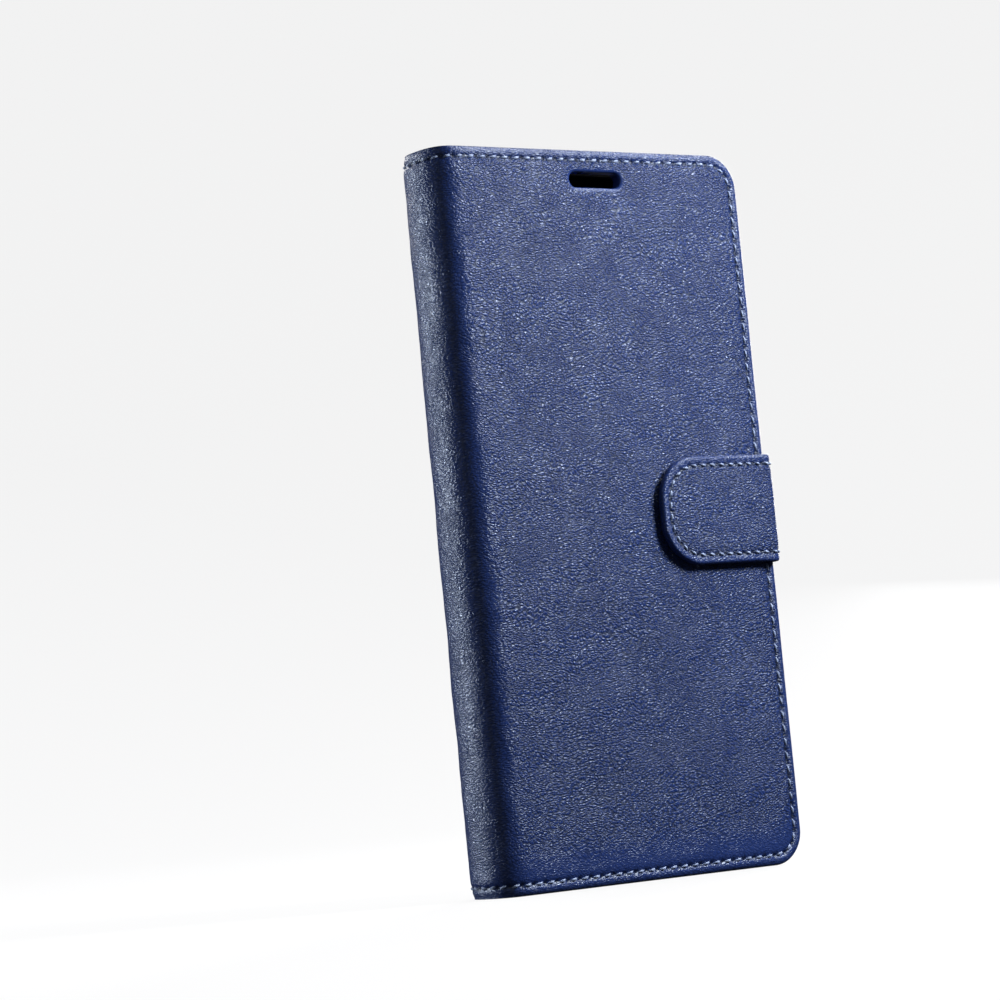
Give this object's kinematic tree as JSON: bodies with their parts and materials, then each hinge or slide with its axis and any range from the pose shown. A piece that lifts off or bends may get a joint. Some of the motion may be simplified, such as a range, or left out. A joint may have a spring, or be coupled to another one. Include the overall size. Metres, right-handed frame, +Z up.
{
  "type": "phone wallet case",
  "caption": "Folio phone case in stitched leather with a bonded soft shell, camera window, card pockets inside the cover and a magnetic strap clasp.",
  "frame": {"origin": "centre of the underside of the closed case, strap included", "axes": "+Z up along the case's length, towards the camera end; -Y out of the front cover; +Y out of the camera side; +X towards the fore-edge, -X the spine"},
  "size_m": [0.0768, 0.0182, 0.145],
  "materials": {
    "grained_leather": "embossed grain, semi-matt finish coat",
    "lining_leather": "embossed grain, matt",
    "thread": "bonded polyester thread",
    "board": "pressed fibre board",
    "shell": "satin moulded TPU",
    "buttons": "satin moulded TPU",
    "bond": "foam bonding sheet",
    "steel": "plated sheet",
    "magnet": "nickel plated"
  },
  "bodies": {
    "back": {"tpu_shell": "shell", "shell_bond_sheet": "bond", "back_leather": "grained_leather", "back_board_fore": "board", "back_board_spine": "board", "back_lining": "lining_leather", "back_stitching": "thread", "strap_anchor": "lining_leather"},
    "spine": {"spine_leather": "grained_leather", "spine_lining": "lining_leather", "spine_stitching": "thread"},
    "front_cover": {"front_leather": "grained_leather", "front_board": "board", "front_lining": "lining_leather", "catch_plate": "steel", "front_stitching": "thread", "cash_pocket": "lining_leather", "card_pocket_upper": "lining_leather", "card_pocket_middle": "lining_leather", "card_pocket_lower": "lining_leather", "pocket_stitching": "thread"},
    "strap_side": {"strap_side_leather": "grained_leather", "strap_side_lining": "lining_leather", "strap_side_stitching": "thread"},
    "strap_tongue": {"tongue_leather": "grained_leather", "tongue_lining": "lining_leather", "tongue_stiffener": "board", "clasp_magnets": "magnet", "tongue_stitching": "thread"},
    "power_button": {"power_button": "buttons"},
    "volume_up_button": {"volume_up_button": "buttons"},
    "volume_down_button": {"volume_down_button": "buttons"}
  },
  "joints": [
    {"name": "spine_fold", "type": "hinge", "parent": "back", "child": "spine", "pos_m": [-0.03335, 0.00905, 0.0725], "axis": [0, 0, -1], "range_deg": [0, 180]},
    {"name": "cover_fold", "type": "hinge", "parent": "spine", "child": "front_cover", "pos_m": [-0.03335, -0.00695, 0.0725], "axis": [0, 0, -1], "range_deg": [0, 180]},
    {"name": "strap_side_fold", "type": "hinge", "parent": "back", "child": "strap_side", "pos_m": [0.03747, 0.00637, 0.072], "axis": [0, 0, 1], "range_deg": [0, 100]},
    {"name": "strap_tongue_fold", "type": "hinge", "parent": "strap_side", "child": "strap_tongue", "pos_m": [0.03715, -0.00785, 0.072], "axis": [0, 0, 1], "range_deg": [0, 120]},
    {"name": "power_button_press", "type": "slide", "parent": "back", "child": "power_button", "axis": [-1, 0, 0], "range_m": [0, 0.0004], "stiffness_N_per_m": 300},
    {"name": "volume_up_button_press", "type": "slide", "parent": "back", "child": "volume_up_button", "axis": [1, 0, 0], "range_m": [0, 0.0004], "stiffness_N_per_m": 300},
    {"name": "volume_down_button_press", "type": "slide", "parent": "back", "child": "volume_down_button", "axis": [1, 0, 0], "range_m": [0, 0.0004], "stiffness_N_per_m": 300}
  ]
}
